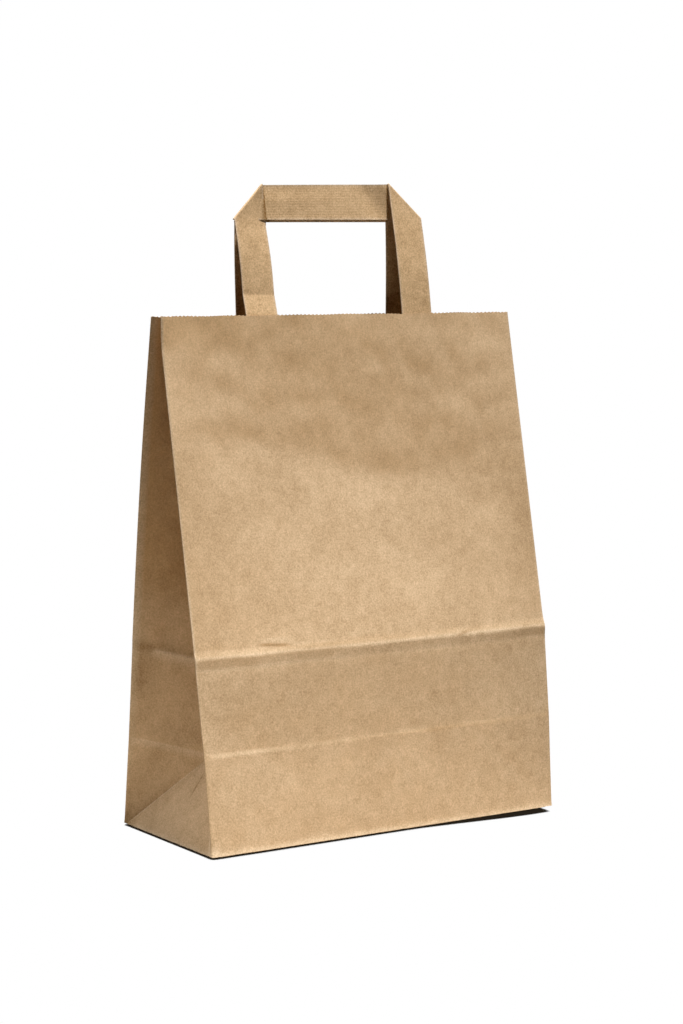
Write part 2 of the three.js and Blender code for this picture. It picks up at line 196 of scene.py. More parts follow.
def valley(s, low, deep, high, soft):
    """A shallow valley of depth 1 from low to high, with its line at deep: two straight slopes that meet in
    a bottom rounded by soft."""
    fall = (s - low) / (deep - low)
    climb = (high - s) / (high - deep)
    return np.maximum(0, (fall + climb - np.sqrt((fall - climb) ** 2 + soft**2)) / 2)


def tuck(x, s, start, end, rise, height):
    """A short crease from start to end, each (x, s): the paper steps out by `height` just above the line
    and falls back over `rise`; the step fades out towards both ends of the line."""
    (x0, s0), (x1, s1) = start, end
    t = (x - x0) / (x1 - x0)
    above = s - lerp(s0, s1, t)
    step = smooth(above / (0.2 * rise)) * (1 - smooth((above - 0.2 * rise) / (0.8 * rise)))
    return height * step * smooth(2.5 * t) * smooth(2.5 * (1 - t))


def pleat(x, s, start, end, width, height):
    """A soft pleat along the line from start to end, each (x, s): a bell across the line, which fades out
    towards both ends."""
    (x0, s0), (x1, s1) = start, end
    length = np.hypot(x1 - x0, s1 - s0)
    along = ((x - x0) * (x1 - x0) + (s - s0) * (s1 - s0)) / length**2
    aside = ((x - x0) * (s1 - s0) - (s - s0) * (x1 - x0)) / length
    return height * hump(aside / width) * smooth(4 * along) * smooth(4 * (1 - along))


def spots(ovals, x, s):
    """Soft oval spots added up: each is a bell, given in millimetres by its x, s, half width and half
    height, and by its strength."""
    total = np.zeros(np.broadcast(x, s).shape)
    for place_x, place_s, wide, tall, strength in ovals:
        total += strength * hump(np.hypot((x - place_x * MM) / wide, (s - place_s * MM) / tall) / MM)
    return total


# Panels


def half_width(s):
    """Half the distance between a panel's standing folds: it widens from the base to the big crease."""
    return HALF_WIDTH - SIDE_DRAW * np.maximum(0, 1 - s / CREASE)


class Panel:
    """A broad side of the bag as a surface over x and s.

    Seen from the side, the lean from upright changes by a short smooth step at each crease, and the
    distance out from the X axis and the height are the running sums of its sine and cosine. The lean of
    the last run is the one that brings the rim to its place.
    """

    def __init__(self, side, leans, rim, bows, sink, relief, fold_shift, wander):
        self.side = side
        self.bows = bows
        self.sink = sink
        self.relief = relief
        self.fold_shift = fold_shift
        self.wander = wander
        self.heights = np.linspace(0, HEIGHT, PROFILE_STEPS)
        low, high = 0.0, STEEPEST
        for _ in range(40):
            last = (low + high) / 2
            self.add_up((*leans, last))
            low, high = (last, high) if self.outs[-1] > rim else (low, last)
        self.upper_lean = np.radians(last)

    def add_up(self, leans):
        """The side view as running sums of the lean's sine and cosine."""
        s = self.heights
        lean = leans[0] + FOOT_LEAN * (1 - smooth(s / FOOT))
        breaks = (APEX, CREASE, RIDGE, RIDGE + CREASE_SETTLE)
        for place, before, after in zip(breaks, leans, leans[1:]):
            lean = lean + (after - before) * smooth((s - place) / CREASE_SOFT + 0.5)
        step = HEIGHT / (PROFILE_STEPS - 1)
        lean = np.radians(lean)
        self.outs = BASE_HALF_DEPTH - step * np.cumsum(np.sin(lean)) + step * np.sin(lean[0])
        self.rises = BASE_LEVEL + step * np.cumsum(np.cos(lean)) - step * np.cos(lean[0])

    def out(self, s):
        return np.interp(s, self.heights, self.outs)

    def rise(self, s):
        sunk = smooth((s - SINK_START) / (HEIGHT - SINK_START))
        return np.interp(s, self.heights, self.rises) - self.sink * sunk

    def point(self, x, s):
        """(x, side * out, height), where out adds up the side view, a parabolic bow that is nothing at the
        folds, the shifts of the two folds, and the relief, which fades out at the folds."""
        x, s = np.broadcast_arrays(x, s)
        across = x / (half_width(s) - FOLD_RADIUS)
        bow = np.interp(s, (0, CREASE, HEIGHT), (0, *self.bows))
        held = 1 - np.clip(across * across, 0, 1) ** 8
        creased = s + self.wander(x) * hump((s - RIDGE) / 0.014) * held
        out = self.out(creased) + bow * (1 - across * across) + held * self.relief(x, s)
        for turn in (-1, 1):
            out = out + self.fold_shift(turn, s) * smooth((turn * across - 0.4) / 0.6)
        return np.stack((x, self.side * out, self.rise(s)), axis=-1)

    def outward(self, x, s):
        """The unit normal that points out of the bag, from differences half a millimetre apart."""
        reach = 0.5 * MM
        s = np.minimum(s, HEIGHT - reach)
        along = self.point(x + reach, s) - self.point(x - reach, s)
        up = self.point(x, s + reach) - self.point(x, s - reach)
        normal = np.cross(along, up) * -self.side
        return normal / np.linalg.norm(normal, axis=-1, keepdims=True)


# Shallow swells and dents of the front, in millimetres: x, s, half width, half height, height out
FRONT_DENTS = (
    (-74, 221, 15, 8, 0.5),
    (-88, 241, 11, 7, -0.35),
    (-70, 256, 8, 6, -0.3),
    (-36, 217, 16, 7, 0.3),
    (27, 204, 12, 9, 0.5),
    (60, 221, 13, 8, 0.5),
    (82, 251, 12, 7, 0.4),
    (25, 255, 9, 7, -0.12),
    (-22, 146, 16, 10, -0.5),
    (45, 141, 20, 11, -0.4),
    (-68, 153, 13, 9, 0.4),
    (-50, 158, 9, 9, -0.3),
)


def low_crease(s, line, soft):
    """The step at the low crease: up to 1 across the line, over `soft`, and slowly back to 0 above it."""
    return smooth((s - line) / soft + 0.5) * (1 - smooth((s - line) / 0.034))


def near_handle(s):
    """0 over the lower half of a panel, and 1 where the handle is glued."""
    return smooth((s - 0.165) / 0.05)


def pressed_through(x, s, outer):
    """How far a glued patch and its two legs press the panel out, with soft edges."""
    beside = np.abs(x) - outer
    above = s - HEIGHT + GLUED_LENGTH
    patch = smooth((PATCH_MARGIN - beside) / (2.5 * MM)) * smooth((above + PATCH_BELOW) / (2.5 * MM))
    leg = smooth(-beside / (2 * MM)) * smooth((beside + TAPE_WIDTH) / (2 * MM)) * smooth(above / (3 * MM))
    return 0.10 * MM * patch + 0.14 * MM * leg


def front_relief(x, s):
    """The front panel's unevenness: cockling and crumpling that are stronger near the handle, swells and
    dents, two valleys, the low crease with faint pleats, tucks along the big crease, what shows through of
    the glued patch and legs, and short creases at the patch's end."""
    handled = near_handle(s)
    relief = waves(x, s, 11, 0.011, 0.024, 0.075) * lerp(0.8, 1.2, handled)
    relief += waves(x, s, 12, 0.011, 0.008, 0.020) * lerp(0.8, 1.8, handled)
    relief += facets(x, s, 13, 0.020, 0.020, 0.055) * lerp(0.8, 1.5, handled)
    relief += MM * spots(FRONT_DENTS, x, s)
    middle = 1 - (x / HALF_WIDTH) ** 2
    left_end = smooth(-(x + 0.045) / 0.04)

    # Two shallow valleys across the middle: along the low crease, and below the handle's patch
    relief -= MM * (1.3 * middle + 0.5 * left_end) * valley(s, 0, LOW_CREASE, CREASE, 0.05)
    deep = 0.198 - 0.011 * np.tanh((x + 0.02) / 0.028)
    relief -= 6.4 * MM * middle * valley(s, RIDGE + CREASE_SETTLE, deep, HEIGHT, 0.08)

    # The low crease, strongest at the left and broken further along
    broken = 0.62 - 0.4 * x / HALF_WIDTH + 0.28 * np.sin(x / 0.0105 + 1.3) * np.sin(x / 0.027)
    line = LOW_CREASE + 0.4 * MM * np.sin(x / 0.031 + 0.6)
    relief -= LOW_CREASE_STEP * (broken + 1.1 * left_end) * low_crease(s, line, 2.2 * MM)

    # Faint pleats below it, from folding the bag flat
    relief += pleat(x, s, (0.056, 0.050), (0.103, 0.003), 2.4 * MM, -0.14 * MM)
    relief += pleat(x, s, (-0.100, 0.044), (-0.060, 0.006), 3.0 * MM, 0.10 * MM)
    relief += pleat(x, s, (0.007, 0.051), (0.017, 0.020), 2.2 * MM, -0.14 * MM)

    # Along the big crease: its band stands steeper at the left and leans more at the right, its settling
    # run leans more at the left end, and three small tucks cross it
    below_band = smooth((s - 0.07) / 0.02) * (1 - smooth((s - CREASE + 2 * MM) / (7 * MM)))
    relief += 0.16 * MM * x / HALF_WIDTH * below_band
    settling = 0.34 * left_end - 0.2 * hump((x + 0.026) / 0.016)
    relief -= MM * settling * smooth((s - RIDGE) / (4 * MM)) * (1 - smooth((s - 0.106) / 0.035))
    lower_line = smooth((s - CREASE + 2.1 * MM) / (1.5 * MM)) * (1 - smooth((s - CREASE) / (12 * MM)))
    relief -= MM * (0.10 + 0.08 * left_end) * lower_line
    relief += tuck(x, s, (-0.076, 0.1042), (-0.051, 0.1026), 5 * MM, 0.45 * MM)
    relief += tuck(x, s, (0.0470, 0.0986), (0.0590, 0.1008), 4 * MM, 0.42 * MM)
    relief += tuck(x, s, (-0.030, 0.1036), (0.004, 0.1031), 5 * MM, 0.08 * MM)

    relief += pressed_through(x, s, FRONT_HANDLE["outer"])

    # Short creases at the patch's right-hand end
    relief += tuck(x, s, (0.0515, 0.2262), (0.0605, 0.2282), 4 * MM, 0.26 * MM)
    relief += tuck(x, s, (0.0785, 0.2308), (0.0850, 0.2312), 3 * MM, 0.2 * MM)
    for place, low, high in ((0.0612, 0.2275, 0.2425), (0.0852, 0.2225, 0.2365)):
        stretch = smooth((s - low) / (4 * MM)) * smooth((high - s) / (4 * MM))
        relief += 0.12 * MM * stretch * hump((x - place) / (0.9 * MM))
    return relief


def rear_relief(x, s):
    """The rear panel's unevenness: its cockling, low crease and tucks, and the patch and legs behind it."""
    handled = near_handle(s)
    relief = waves(x, s, 23, 0.013, 0.024, 0.080) * lerp(0.6, 1.1, handled)
    relief += waves(x, s, 24, 0.009, 0.010, 0.024) * lerp(0.3, 1.0, handled)
    line = LOW_CREASE + 0.5 * MM * np.sin(x / 0.027 + 2.0)
    relief -= LOW_CREASE_STEP * (0.6 + 0.3 * np.sin(x / 0.019)) * low_crease(s, line, 1.6 * MM)
    relief += tuck(x, s, (0.041, 0.1040), (0.073, 0.1026), 6 * MM, 0.5 * MM)
    relief += tuck(x, s, (-0.090, 0.1022), (-0.064, 0.1038), 5 * MM, 0.4 * MM)
    return relief + pressed_through(x, s, REAR_HANDLE["outer"])


def front_fold_shift(turn, s):
    """The front folds: the left one flares out at the rim, and the right one stands out at the crease."""
    if turn > 0:
        return 0.5 * MM * hump((s - RIDGE) / (5 * MM))
    return 3.1 * MM * smooth((s - 0.255) / 0.026)


def rear_fold_shift(turn, s):
    """The rear folds bow out between the crease and the rim."""
    above = np.clip((s - RIDGE) / (HEIGHT - RIDGE), 0, 1)
    return 1.6 * MM * np.sin(np.pi * above)


def front_wander(x):
    """How far the big crease strays up and down along the front."""
    return 0.45 * MM * np.sin(x / 0.036 + 0.4) + 0.25 * MM * np.sin(x / 0.0117 + 2.1)


def rear_wander(x):
    """How far the big crease strays up and down along the rear."""
    return 0.5 * MM * np.sin(x / 0.030 + 1.9) + 0.25 * MM * np.sin(x / 0.0131 + 0.2)


front = Panel(-1, FRONT_LEANS, FRONT_RIM, FRONT_BOWS, 0.0, front_relief, front_fold_shift, front_wander)
rear = Panel(1, REAR_LEANS, REAR_RIM, REAR_BOWS, REAR_SINK, rear_relief, rear_fold_shift, rear_wander)


# Gussets

CORNER = np.linspace(0, 1, CORNER_COLUMNS)
LEAF = 1 - np.linspace(1, 0, LEAF_COLUMNS + 1)[1:] ** 1.4  # closer together towards the middle fold
TIP = np.linspace(0, 1, TIP_COLUMNS + 1)[1:]
SINK = np.concatenate((np.zeros(CORNER_COLUMNS), LEAF, np.ones(TIP_COLUMNS)))
DIAGONAL = CORNER_COLUMNS + LEAF_COLUMNS - 1  # the column that runs down the diagonal below the apex
LEAF_LOW_CREASE = LOW_CREASE - 2.3 * MM


def leaf_run(angle):
    """Length of a gusset leaf's straight run, once its two arcs have taken their share of the paper."""
    flat_corner = FOLD_RADIUS * (1 - np.pi / 4)
    return DEPTH / 2 - flat_corner - FOLD_RADIUS * (np.pi - 1.5 * angle)


def leaf_angle(half_gap):
    """The angle between panel and leaf at which the leaf reaches half way across the gap, by halving."""
    low = np.zeros_like(half_gap)
    high = np.full_like(half_gap, np.pi / 2)
    for _ in range(50):
        middle = (low + high) / 2
        reach = leaf_run(middle) * np.sin(middle) + FOLD_RADIUS * (1 + 2 * np.cos(middle))
        low = np.where(reach < half_gap, middle, low)
        high = np.where(reach < half_gap, high, middle)
    return (low + high) / 2


def above_crease(turn, f, s):
    """Height over the big crease's line on a leaf, which drops from the panel's fold to the middle fold."""
    return s - RIDGE - 0.5 * MM + 2.5 * MM * f - 0.3 * MM * np.sin(9 * f + turn)


def leaf_relief(panel, turn, f, s):
    """Unevenness of a leaf, out of the bag: cockling, a hollow below the big crease, and that crease
    carried on across the leaf, where the paper steps out near the panel's fold and in further along."""
    seed = 40 + panel.side + 4 * turn
    relief = waves(f * DEPTH / 2, s, seed, 0.034, 0.018, 0.060) * lerp(1.0, 0.5, smooth((s - 0.2) / 0.07))
    relief -= 1.4 * MM * (1 - smooth((s - APEX) / 0.09))
    above = above_crease(turn, f, s)
    step = smooth(above / (3.2 * MM) + 0.5) * (1 - smooth((above - 2 * MM) / (32 * MM)))
    kink = lerp(0.5, -0.9, smooth((f - 0.16) / 0.14)) * MM * step
    held = np.clip(4 * f * (1 - f), 0, 1)
    return relief * held + kink * np.clip(9 * f, 0, 1) * np.clip(4 * (1 - f), 0, 1)


# Patches of painted shade and painted light on a leaf, in millimetres: distance from the panel's fold, s,
# half
#  width, half height, darkness
LEAF_PATCHES = (
    (6, 276, 20, 8, -0.95),
    (5, 255, 7, 24, -0.36),
    (16, 246, 9, 10, 0.12),
    (3, 212, 7, 40, -0.15),
    (18, 204, 9, 9, 0.16),
    (12, 165, 16, 30, -0.10),
    (15, 143, 9, 19, 0.20),
    (8, 126, 6, 12, -0.16),
    (18, 112, 14, 10, -0.20),
    (4, 86, 6, 13, 0.42),
    (22, 76, 9, 10, -0.08),
    (37, 58, 10, 7, 0.26),
    (20, 40, 9, 8, 0.26),
    (9, 46, 6, 12, -0.12),
    (10, 22, 14, 14, 0.12),
)


def high_on_leaf(s):
    """0 up to the big crease and 1 well above it."""
    return smooth((s - 0.115) / 0.03)


def leaf_shade_warmth(f, s):
    """Painted shade colour: the leaf's paper painted deeper and warmer inside than along its folds, more so
    above the big crease.
    """
    return lerp(0.3, 0.6, high_on_leaf(s)) * ((f > 0) & (f < 1))


def wrinkle_stretch(share):
    """1 along the wrinkle below a gusset's apex and 0 elsewhere; share runs from the base to the apex."""
    return smooth((share - 0.42) / 0.15) * (1 - smooth((share - 0.75) / 0.15))


def leaf_wear_and_painted_light(turn, s):
    """Rubbed paper and painted highlight on half a gusset, up to 1: along both creases and along the
    diagonal below the apex, partly rubbed paper and partly painted highlight. Elsewhere, and more so high
    on the leaf, the paper's colour is painted deeper and warmer, a painted shade colour that counts as less
    than 0."""
    f = SINK[None, :]
    s = s[:, None]
    above = above_crease(turn, f, s)
    wear = smooth(0.3 - above / (1.4 * MM)) * hump(above / (4.2 * MM)) * smooth((f - 0.16) / 0.12)
    wear[:, :DIAGONAL] += 0.7 * hump((s - LEAF_LOW_CREASE) / (0.8 * MM)) * (f > 0)[:, :DIAGONAL]
    wear[:, DIAGONAL] += 1 - smooth((s[:, 0] - 0.6 * APEX) / (0.5 * APEX))
    return wear - 0.3 * high_on_leaf(s) - leaf_shade_warmth(f, s)


def leaf_shade(panel, turn, s):
    """Painted shade on half a gusset, up to 1, and painted light below 0: the patches, which lie at other
    heights on each leaf, painted shade in the kink near the panel's fold, beside the diagonal and along a
    short wrinkle below the apex, and painted light that evens out the darkness of the painted warmer
    colour."""
    f = SINK[None, :]
    s = s[:, None]
    past_kink = smooth((f - 0.18) / 0.12)
    above = above_crease(turn, f, s) - lerp(0.3, 1.8, past_kink) * MM
    shade = lerp(0.42, 0.10, past_kink) * hump(above / (lerp(2.6, 1.4, past_kink) * MM))
    shade += 0.28 * hump((1 - f) / 0.2) * (1 - smooth(s / APEX))
    raised = 6 * MM * (panel.side - 1) + 5 * MM * (turn + 1)
    shade += spots(LEAF_PATCHES, f * DEPTH / 2, s - raised)
    shade[:, DIAGONAL:] *= smooth((s - APEX) / (0.2 * APEX))
    shade[:, -1] += 0.45 * wrinkle_stretch(s[:, 0] / APEX)
    return (shade - WARMTH_LIFT * leaf_shade_warmth(f, s)) * (f > 0)


def leaf_rows(panel, other, turn, s):
    """Half a gusset above its apex, from the panel's fold to the middle fold: an arc round the standing
    fold, a straight run at the leaf's angle and an arc round the middle fold."""
    near = panel.out(s) + panel.fold_shift(turn, s)
    far = other.out(s) + other.fold_shift(turn, s)
    half_gap = (near + far) / 2
    angle = leaf_angle(half_gap)[:, None]
    run = leaf_run(angle)
    bend = CORNER * (np.pi - angle)
    corner_x = half_width(s)[:, None] - FOLD_RADIUS * (1 - np.sin(bend))
    corner_in = FOLD_RADIUS * (1 - np.cos(bend))
    uneven = leaf_relief(panel, turn, LEAF[None, :], s[:, None])
    leaf_x = corner_x[:, -1:] - LEAF * run * np.cos(angle) + uneven * np.sin(angle)
    leaf_in = corner_in[:, -1:] + LEAF * run * np.sin(angle) + uneven * np.cos(angle)
    bend = lerp(angle, np.pi / 2, TIP)
    tip_x = leaf_x[:, -1:] + FOLD_RADIUS * (np.sin(angle) - np.sin(bend))
    tip_in = leaf_in[:, -1:] + FOLD_RADIUS * (np.cos(angle) - np.cos(bend))
    x = turn * np.concatenate((corner_x, leaf_x, tip_x), axis=1)
    inward = np.concatenate((corner_in, leaf_in, tip_in), axis=1)
    drop = half_gap * np.tan((panel.upper_lean + other.upper_lean) / 2)
    fold_z = (panel.rise(s) + other.rise(s)) / 2 - drop
    z = lerp(panel.rise(s)[:, None], fold_z[:, None], SINK)
    return np.stack((x, panel.side * (near[:, None] - inward), z), axis=-1)


def leaf_foot(panel, turn):
    """The same columns along the base's edge: the arc of a square corner, the leaf's run gathered into a
    short tuck, and the middle fold's arc spread along the rest of the edge."""
    bend = CORNER * np.pi / 2
    tuck_length = 2.5 * MM
    gathered = FOLD_RADIUS + LEAF * tuck_length
    spread = lerp(FOLD_RADIUS + tuck_length, BASE_HALF_DEPTH, smooth(TIP))
    straight = np.full(LEAF_COLUMNS + TIP_COLUMNS, BASE_HALF_WIDTH)
    x = np.concatenate((BASE_HALF_WIDTH - FOLD_RADIUS * (1 - np.sin(bend)), straight))
    inward = np.concatenate((FOLD_RADIUS * (1 - np.cos(bend)), gathered, spread))
    y = panel.side * (BASE_HALF_DEPTH - inward)
    return np.stack((turn * x, y, np.full_like(x, BASE_LEVEL)), axis=-1)


def half_gusset(panel, other, turn, s):
    """Half a gusset over its whole height: straight lines from the base's edge to the row at the apex, and
    the folded leaf above it. Near the panel the lower columns follow the panel's flared foot, and the lower
    triangle has soft ripples and a short wrinkle down its middle."""
    share = np.clip(s / APEX, 0, 1)
    above = leaf_rows(panel, other, turn, np.maximum(s, APEX))
    rows = lerp(leaf_foot(panel, turn)[None], above, share[:, None, None])
    low = np.minimum(s, APEX)
    flare = panel.out(low) - lerp(panel.out(0), panel.out(APEX), share)
    rows[:, :, 1] += panel.side * flare[:, None] * (1 - SINK)
    ripple = 1.4 * MM * (share * (1 - share))[:, None] * np.sin(3 * np.pi * TIP + panel.side)
    wrinkle = 0.35 * MM * wrinkle_stretch(share)[:, None] * hump((1 - TIP) / 0.08)
    rows[:, -TIP_COLUMNS:, 0] += turn * (ripple * np.sin(np.pi * TIP) - wrinkle)
    return rows


# The bag body


def row_heights():
    """Paper heights of the rows: close together at the foot, at both creases and at the rim."""
    stretches = (
        (0.0, 0.006, 5),
        (0.006, 0.048, 11),
        (0.048, 0.054, 7),
        (0.054, 0.092, 10),
        (0.092, 0.108, 20),
        (0.108, HEIGHT - 2.4 * MM, 44),
        (HEIGHT - 2.4 * MM, HEIGHT, 2),
    )
    runs = [np.linspace(low, high, count, endpoint=False) for low, high, count in stretches]
    return np.append(np.concatenate(runs), HEIGHT)


def ring(panel_columns, half_columns):
    """Columns all round the bag, from functions that give a panel's columns and half a gusset's: front
    panel, right gusset, rear panel and left gusset. The second half of a gusset runs outwards."""
    return np.concatenate(
        (
            panel_columns(front),
            half_columns(front, rear, 1),
            half_columns(rear, front, 1)[:, -2::-1],
            panel_columns(rear),
            half_columns(rear, front, -1),
            half_columns(front, rear, -1)[:, -2::-1],
        ),
        axis=1,
    )


def body_grid(s):
    """The whole sheet as a closed ring of columns: rows of the base from its middle outwards, then rows up
    the walls."""
    edge = half_width(s) - FOLD_RADIUS
    x = np.linspace(-1, 1, PANEL_COLUMNS)[None, 1:-1] * edge[:, None]

    def panel_points(panel):
        return panel.point(-panel.side * x, s[:, None])

    def half_points(panel, other, turn):
        return half_gusset(panel, other, turn, s)

    walls = ring(panel_points, half_points)

    # Pinked teeth and a slow wave along the rim
    column = np.arange(walls.shape[1])
    turn = 2 * np.pi * column / len(column)
    shift = TOOTH_HEIGHT * (column % 2) + RIM_WAVE * (np.sin(9 * turn) + np.sin(23 * turn + 1))
    up = walls[-1] - walls[-2]
    up /= np.linalg.norm(up, axis=-1, keepdims=True)
    walls[-1] -= up * shift[:, None]

    base = np.array(BASE_SHARES)[:, None, None] * walls[0] * (1, 1, 0)
    base[:, :, 2] = BASE_LEVEL
    return np.concatenate((base, walls))


def near_rim(s):
    """0 up to the end of a panel's middle, and 1 over its top fifth."""
    return smooth((s - RIM_ZONE) / 0.03)


def gloom(grid, heights, panel):
    """How much less light a panel's tilt lets fall on each of its points, where 0.1 is a tenth less: above
    the big crease than on the panel's middle, and up to the crease than on the rest of the row."""
    panel_columns = PANEL_COLUMNS - 2
    gusset_columns = 2 * len(SINK) - 1
    first = 0 if panel is front else panel_columns + gusset_columns
    face = grid[:, first : first + panel_columns]
    normal = np.cross(np.gradient(face, axis=1), np.gradient(face, axis=0))
    normal /= np.linalg.norm(normal, axis=-1, keepdims=True)
    light = np.full(normal.shape[:2], FLOOR_LIGHT)
    for towards, strength, _ in LIGHTS.values():
        light += strength * np.maximum(0, normal @ (np.array(towards) / np.linalg.norm(towards)))
    above = heights > RIDGE + CREASE_SETTLE
    middle = light[above & (heights < RIM_ZONE)].mean()
    usual = np.where(above, middle, light.mean(axis=1))
    return np.clip(1 - light / usual[:, None], -0.3, 0.3)


def body_wear_and_painted_light(grid, heights):
    """Rubbed paper and painted highlight, up to 1: along the standing folds, the base's edges, the big
    crease's ridge and the gussets' creases, where the paleness is partly rubbed paper and partly painted
    highlight, and at one worn corner. Where a panel's tilt keeps light off, and on the gussets' leaves, the
    paper is painted deeper and warmer: a painted shade colour, which counts as less than 0."""
    # the pale lines at the big crease are partly rubbed paper and partly painted highlight
    ridge = 0.6 * hump((heights - RIDGE - 0.6 * MM) / (0.9 * MM)) + 0.2 * hump((heights - CREASE) / MM)

    def panel_wear_and_painted_light(panel):
        # painted shade: the panel's paper is painted deeper and warmer where its tilt keeps light off
        return ridge[:, None] - SHADE_WARMTH * gloom(grid, heights, panel)

    def half_wear_and_painted_light(panel, other, turn):
        return leaf_wear_and_painted_light(turn, heights)

    creases = ring(panel_wear_and_painted_light, half_wear_and_painted_light)
    # the pale standing folds and base edge are partly rubbed paper and partly painted highlight
    standing = hump((np.abs(grid[:, :, 0]) - HALF_WIDTH) / (0.7 * MM))
    foot = 0.8 * hump(heights / (1.6 * MM))[:, None]
    worn_corner = np.linalg.norm(grid - (-BASE_HALF_WIDTH, -BASE_HALF_DEPTH, 0), axis=-1)
    return np.minimum(creases + standing + foot + hump(worn_corner / (6 * MM)), 1)


# Patches of painted shade and painted light on a panel, in millimetres: x seen from outside, s, half width,
# half
#  height, darkness
PANEL_PATCHES = (
    (-102, 270, 12, 8, -0.20),
    (12, 261, 9, 9, -0.26),
    (-12, 250, 12, 9, -0.10),
    (73, 235, 9, 7, 0.10),
    (42, 220, 12, 10, 0.12),
    (-99, 204, 10, 9, 0.10),
    (15, 176, 24, 8, -0.09),
    (78, 178, 12, 9, 0.08),
    (-55, 141, 9, 10, 0.09),
    (80, 120, 15, 11, -0.15),
    (10, 119, 10, 7, 0.10),
    (-95, 52, 16, 12, -0.10),
    (-22, 45, 18, 10, -0.10),
)


def body_shade(grid, heights):
    """Darker colour, up to 1, and paler colour below 0: painted shade and painted light on the gussets and
    in patches and zones of the panels, painted shade in the rear left corner of the base, and a dark nick
    in the front left fold. Painted light evens out what the panels' painted warmer colour darkens."""
    s = heights[:, None]
    rim = near_rim(s)
    edge = smooth((s - 0.255) / 0.015)
    upper = smooth((s - RIDGE - 0.014) / 0.03) * (1 - rim)
    low = 1 - smooth((s - 0.032) / 0.026)

    def panel_shade(panel):
        across = np.linspace(-1, 1, PANEL_COLUMNS)[None, 1:-1]
        # painted light near the rim, at the upper left, along the top edge and low on the left, and painted
        # shade at the upper right and low on the right
        paler = 0.16 * rim * smooth((-across - 0.5) / 0.4) + 0.03 * rim + 0.08 * edge + 0.03 * low
        darker = 0.2 * upper * smooth((across - 0.7) / 0.3) + 0.08 * low * np.tanh(3 * across - 0.3)
        patches = spots(PANEL_PATCHES, across * HALF_WIDTH, s)
        # painted shade and painted light in patches and zones, and painted light that evens out the
        # darkness of the painted warmer colour
        return darker - paler + patches - SHADE_WARMTH * WARMTH_LIFT * gloom(grid, heights, panel)

    def half_shade(panel, other, turn):
        return leaf_shade(panel, turn, heights)

    # painted shade in the rear left corner of the base, where it meets the floor
    corner = np.linalg.norm(grid - (-BASE_HALF_WIDTH, BASE_HALF_DEPTH, 0), axis=-1)
    nick = np.linalg.norm(grid - (-BASE_HALF_WIDTH, -BASE_HALF_DEPTH, 7 * MM), axis=-1)
    marks = 0.8 * hump(corner / (8 * MM)) + 0.6 * hump(nick / (1.3 * MM))
    return np.minimum(ring(panel_shade, half_shade) + marks, 1)


# Meshes


def quads(a, b, c, d):
    """Four-cornered faces from arrays of their corners."""
    return np.stack((a, b, c, d), axis=-1).reshape(-1, 4)


def cells(index):
    """The faces between neighbouring rows and columns of point numbers."""
    return quads(index[:-1, :-1], index[:-1, 1:], index[1:, 1:], index[1:, :-1])


def slab(grid, front_offset, back_offset, closed=False):
    """Both faces of a sheet, and walls along its open edges, from rows and columns of points. Each face
    lies its offset along the unit normal, which is the column direction crossed with the row direction."""
    rows, columns = grid.shape[:2]
    if closed:
        along = np.roll(grid, -1, axis=1) - np.roll(grid, 1, axis=1)
    else:
        along = np.gradient(grid, axis=1)
    normal = np.cross(along, np.gradient(grid, axis=0))
    normal /= np.linalg.norm(normal, axis=-1, keepdims=True)
    faces = [grid + normal * front_offset, grid + normal * back_offset]
    points = np.concatenate([face.reshape(-1, 3) for face in faces])
    near = np.arange(rows * columns).reshape(rows, columns)
    far = near + rows * columns
    if closed:
        near = np.concatenate((near, near[:, :1]), axis=1)
        far = np.concatenate((far, far[:, :1]), axis=1)
    made = [
        cells(near),
        quads(far[:-1, :-1], far[1:, :-1], far[1:, 1:], far[:-1, 1:]),
        quads(near[0, 1:], near[0, :-1], far[0, :-1], far[0, 1:]),
        quads(near[-1, :-1], near[-1, 1:], far[-1, 1:], far[-1, :-1]),
    ]
    if not closed:
        made.append(quads(near[:-1, 0], near[1:, 0], far[1:, 0], far[:-1, 0]))
        made.append(quads(near[1:, -1], near[:-1, -1], far[:-1, -1], far[1:, -1]))
    return points, np.concatenate(made)


def add_mesh(name, points, faces, material):
    """A smooth mesh in the scene, from points and four-cornered faces."""
    mesh = bpy.data.meshes.new(name)
    mesh.from_pydata(points.tolist(), [], faces.tolist())
    mesh.polygons.foreach_set("use_smooth", np.ones(len(faces), dtype=bool))
    mesh.materials.append(material)
    made = bpy.data.objects.new(name, mesh)
    bpy.context.scene.collection.objects.link(made)
    return made


def add_piece(name, shell, material, node, slot, **values):
    """A piece from points and faces that stands for a CAD node, with values at its points. Values of one
    face serve both."""
    made = add_mesh(name, *shell, material)
    made.data.set_sharp_from_angle(angle=np.radians(SHARP))
    for key, value in values.items():
        layer = made.data.attributes.new(key, "FLOAT", "POINT")
        layer.data.foreach_set("value", np.resize(value, len(made.data.vertices)).astype(np.float32))
    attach(made, "root")
    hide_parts(node)


# Handles and patches


def glued_point(panel, x, s, depth):
    """The point that lies `depth` behind the panel's face."""
    return panel.point(x, s) - panel.outward(x, s) * np.asarray(depth)[..., None]


